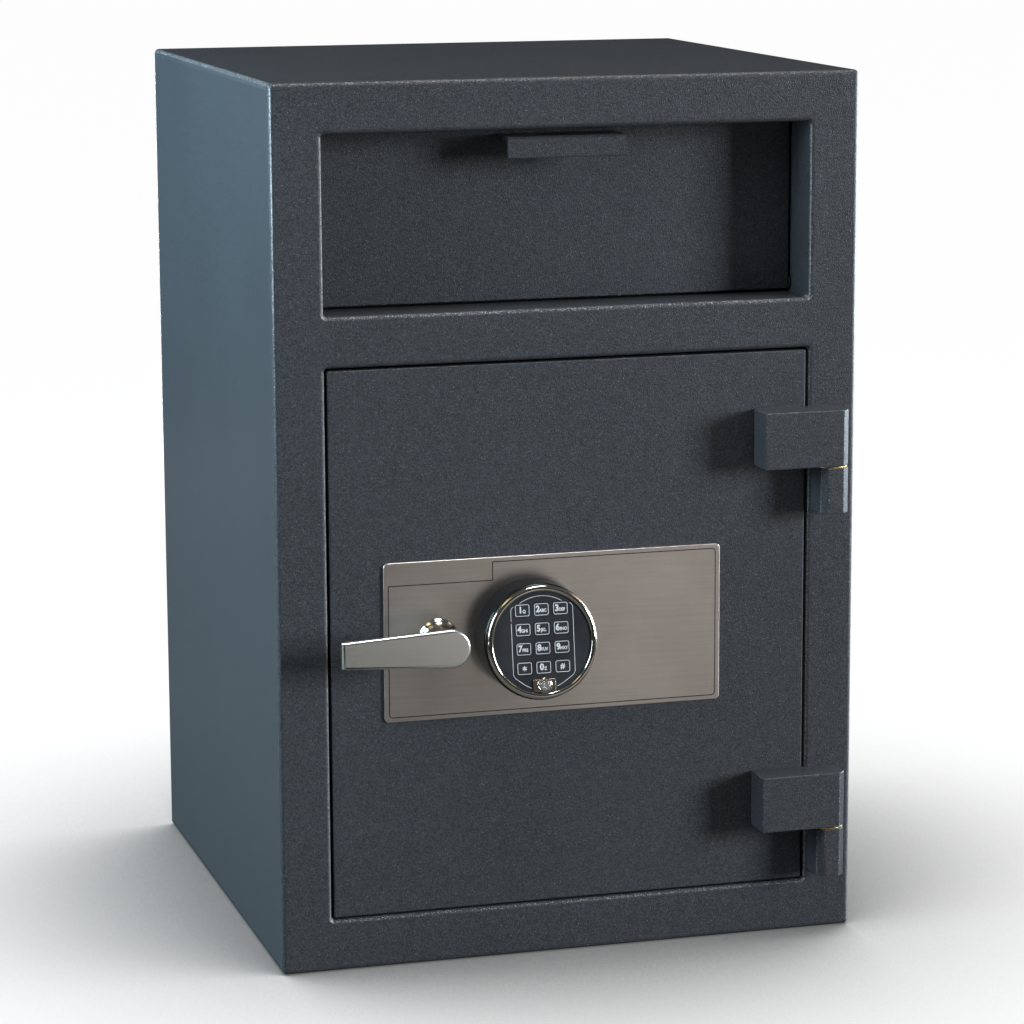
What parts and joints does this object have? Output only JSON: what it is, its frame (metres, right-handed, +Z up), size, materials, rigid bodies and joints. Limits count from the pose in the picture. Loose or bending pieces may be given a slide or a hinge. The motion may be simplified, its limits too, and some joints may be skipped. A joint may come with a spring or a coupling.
{
  "type": "drop safe",
  "caption": "Front-loading deposit safe: recessed tilting hopper over a flush hinged door with lever handle, round keypad, sliding bolts and external hinges.",
  "frame": {"origin": "floor level, at the centre of the body's 518 x 508 mm footprint (handle, keypad and hinges stand out in front of it)", "axes": "+Z up, +X to the right seen from the front, +Y from the front to the back"},
  "size_m": [0.518, 0.556, 0.762],
  "materials": {
    "body_paint": "dark slate grey fine-pebble enamel, satin",
    "side_paint": "dark slate grey fine-pebble enamel, satin",
    "plated_steel": "zinc-plated and turned steel",
    "brass": "plain brass",
    "brushed_stainless": "horizontally brushed stainless steel",
    "satin_nickel": "satin nickel",
    "chrome": "bright chrome",
    "zinc_casting": "die-cast zinc, matt",
    "hard_steel": "black oxide hardened steel",
    "housing_black": "gloss black",
    "keypad_black": "fine matt blue-black",
    "key_rubber": "matt, white outline and legend",
    "circuit_board": "green solder mask",
    "cable_sheath": "matt black"
  },
  "bodies": {
    "safe_body": {"front_frame": "body_paint", "side_left": "side_paint", "side_right": "side_paint", "top_plate": "body_paint", "bottom_plate": "body_paint", "back_plate": "body_paint", "throat_top": "body_paint", "throat_sill": "body_paint", "throat_left": "body_paint", "throat_right": "body_paint", "anti_fish_baffle": "body_paint", "hopper_rest_rod": "plated_steel", "frame_hinge_barrels": "body_paint", "hinge_pins": "plated_steel", "hinge_washers": "brass"},
    "hopper": {"hopper_panel": "body_paint", "hopper_pull": "body_paint", "hopper_cheek_left": "body_paint", "hopper_cheek_right": "body_paint", "hopper_floor": "body_paint", "hopper_trunnions": "plated_steel"},
    "door": {"door_plate": "body_paint", "door_hinge_leaves": "body_paint", "escutcheon_plate": "brushed_stainless", "handle_rose": "satin_nickel", "spindle_bushing": "brass", "hinge_side_deadbar": "plated_steel", "bolt_frame": "body_paint", "hard_plate": "hard_steel", "lock_case": "zinc_casting", "lock_cable": "cable_sheath", "boltwork_cover": "body_paint", "cover_screws": "plated_steel", "keypad_housing": "housing_black", "keypad_bezel": "chrome", "keypad_face": "keypad_black", "keypad_board": "circuit_board", "battery_tab": "chrome", "battery_tab_screw": "chrome"},
    "handle": {"handle_lever": "satin_nickel", "handle_neck": "satin_nickel", "handle_spindle": "plated_steel", "drive_cam": "plated_steel", "drive_pin": "plated_steel"},
    "boltwork": {"bolt_bar": "plated_steel", "door_bolts": "plated_steel"},
    "lock_bolt": {"lock_bolt": "plated_steel"},
    "button_1": {"key_1": "key_rubber"},
    "button_2": {"key_2": "key_rubber"},
    "button_3": {"key_3": "key_rubber"},
    "button_4": {"key_4": "key_rubber"},
    "button_5": {"key_5": "key_rubber"},
    "button_6": {"key_6": "key_rubber"},
    "button_7": {"key_7": "key_rubber"},
    "button_8": {"key_8": "key_rubber"},
    "button_9": {"key_9": "key_rubber"},
    "button_star": {"key_star": "key_rubber"},
    "button_0": {"key_0": "key_rubber"},
    "button_hash": {"key_hash": "key_rubber"}
  },
  "joints": [
    {"name": "door_hinge", "type": "hinge", "parent": "safe_body", "child": "door", "pos_m": [0.2312, -0.2705, 0.2615], "axis": [0, 0, 1], "range_deg": [0, 180]},
    {"name": "hopper_tilt", "type": "hinge", "parent": "safe_body", "child": "hopper", "pos_m": [0, -0.204, 0.575], "axis": [1, 0, 0], "range_deg": [0, 45]},
    {"name": "handle_turn", "type": "hinge", "parent": "door", "child": "handle", "pos_m": [-0.1195, -0.3, 0.288], "axis": [0, -1, 0], "range_deg": [0, 90]},
    {"name": "bolt_throw", "type": "slide", "parent": "door", "child": "boltwork", "axis": [-1, 0, 0], "range_m": [0, 0.019]},
    {"name": "lock_bolt_lift", "type": "slide", "parent": "door", "child": "lock_bolt", "axis": [0, 0, 1], "range_m": [0, 0.00905]},
    {"name": "press_1", "type": "slide", "parent": "door", "child": "button_1", "axis": [0, 0.9903, -0.1392], "range_m": [0, 0.0008], "stiffness_N_per_m": 400, "springref_m": -0.0005},
    {"name": "press_2", "type": "slide", "parent": "door", "child": "button_2", "axis": [0, 0.9903, -0.1392], "range_m": [0, 0.0008], "stiffness_N_per_m": 400, "springref_m": -0.0005},
    {"name": "press_3", "type": "slide", "parent": "door", "child": "button_3", "axis": [0, 0.9903, -0.1392], "range_m": [0, 0.0008], "stiffness_N_per_m": 400, "springref_m": -0.0005},
    {"name": "press_4", "type": "slide", "parent": "door", "child": "button_4", "axis": [0, 0.9903, -0.1392], "range_m": [0, 0.0008], "stiffness_N_per_m": 400, "springref_m": -0.0005},
    {"name": "press_5", "type": "slide", "parent": "door", "child": "button_5", "axis": [0, 0.9903, -0.1392], "range_m": [0, 0.0008], "stiffness_N_per_m": 400, "springref_m": -0.0005},
    {"name": "press_6", "type": "slide", "parent": "door", "child": "button_6", "axis": [0, 0.9903, -0.1392], "range_m": [0, 0.0008], "stiffness_N_per_m": 400, "springref_m": -0.0005},
    {"name": "press_7", "type": "slide", "parent": "door", "child": "button_7", "axis": [0, 0.9903, -0.1392], "range_m": [0, 0.0008], "stiffness_N_per_m": 400, "springref_m": -0.0005},
    {"name": "press_8", "type": "slide", "parent": "door", "child": "button_8", "axis": [0, 0.9903, -0.1392], "range_m": [0, 0.0008], "stiffness_N_per_m": 400, "springref_m": -0.0005},
    {"name": "press_9", "type": "slide", "parent": "door", "child": "button_9", "axis": [0, 0.9903, -0.1392], "range_m": [0, 0.0008], "stiffness_N_per_m": 400, "springref_m": -0.0005},
    {"name": "press_star", "type": "slide", "parent": "door", "child": "button_star", "axis": [0, 0.9903, -0.1392], "range_m": [0, 0.0008], "stiffness_N_per_m": 400, "springref_m": -0.0005},
    {"name": "press_0", "type": "slide", "parent": "door", "child": "button_0", "axis": [0, 0.9903, -0.1392], "range_m": [0, 0.0008], "stiffness_N_per_m": 400, "springref_m": -0.0005},
    {"name": "press_hash", "type": "slide", "parent": "door", "child": "button_hash", "axis": [0, 0.9903, -0.1392], "range_m": [0, 0.0008], "stiffness_N_per_m": 400, "springref_m": -0.0005}
  ],
  "couplings": [
    {"joint": "bolt_throw", "follows": "handle_turn", "m_per_rad": 0.012064},
    {"joint": "lock_bolt_lift", "follows": "handle_turn", "m_per_rad": 0.00573}
  ]
}
